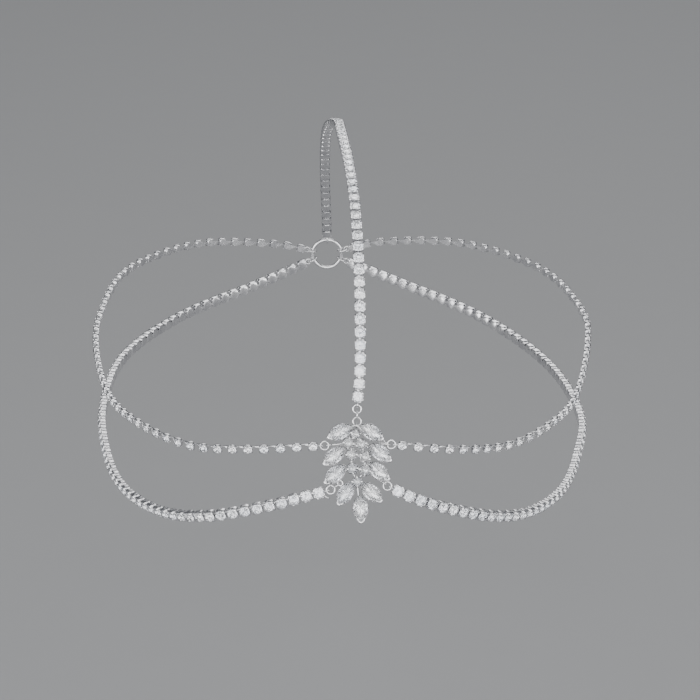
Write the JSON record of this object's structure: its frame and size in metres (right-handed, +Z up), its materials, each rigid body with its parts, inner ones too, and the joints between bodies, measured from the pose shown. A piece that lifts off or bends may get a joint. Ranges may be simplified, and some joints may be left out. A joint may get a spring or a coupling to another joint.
{
  "type": "head chain diadem",
  "caption": "Forehead jewel of clear cut stones: a leaf spray with one strand over the crown and two round each side, in silver-coloured cups, joined at a ring behind the head.",
  "frame": {"origin": "underside of the crown strand, where it sits on the crown of the head", "axes": "+Z up on a wearer's upright head, -Y to the front where the spray is, +X to the viewer's right as seen from the front"},
  "size_m": [0.1616, 0.1949, 0.106],
  "materials": {
    "silver_plate": "polished silver-coloured plate, soft shine",
    "cup_chain": "stamped and plated cups that hold clear cut stones",
    "crystal": "clear cut glass with a mirror-backed sparkle"
  },
  "bodies": {
    "root": {"spray_setting": "silver_plate", "leaf_stone_1": "crystal", "leaf_stone_2": "crystal", "leaf_stone_3": "crystal", "leaf_stone_4": "crystal", "leaf_stone_5": "crystal", "leaf_stone_6": "crystal", "leaf_stone_7": "crystal", "leaf_stone_8": "crystal", "leaf_stone_9": "crystal", "round_stone_1": "crystal", "round_stone_2": "crystal", "round_stone_3": "crystal", "round_stone_4": "crystal", "round_stone_5": "crystal", "round_stone_6": "crystal", "round_stone_7": "crystal", "round_stone_8": "crystal", "top_ring": "silver_plate", "top_link": "silver_plate", "spray_ring": "silver_plate", "upper_left_ring": "silver_plate", "upper_right_ring": "silver_plate", "lower_left_ring": "silver_plate", "lower_left_link": "silver_plate", "lower_right_ring": "silver_plate", "crown_strand": "cup_chain", "upper_left_strand": "cup_chain", "upper_right_strand": "cup_chain", "lower_left_strand": "cup_chain", "lower_right_strand": "cup_chain", "back_ring": "silver_plate", "back_ring_top": "silver_plate", "back_ring_upper_left": "silver_plate", "back_ring_upper_right": "silver_plate", "back_ring_lower_left": "silver_plate", "back_ring_lower_right": "silver_plate"}
  },
  "joints": []
}
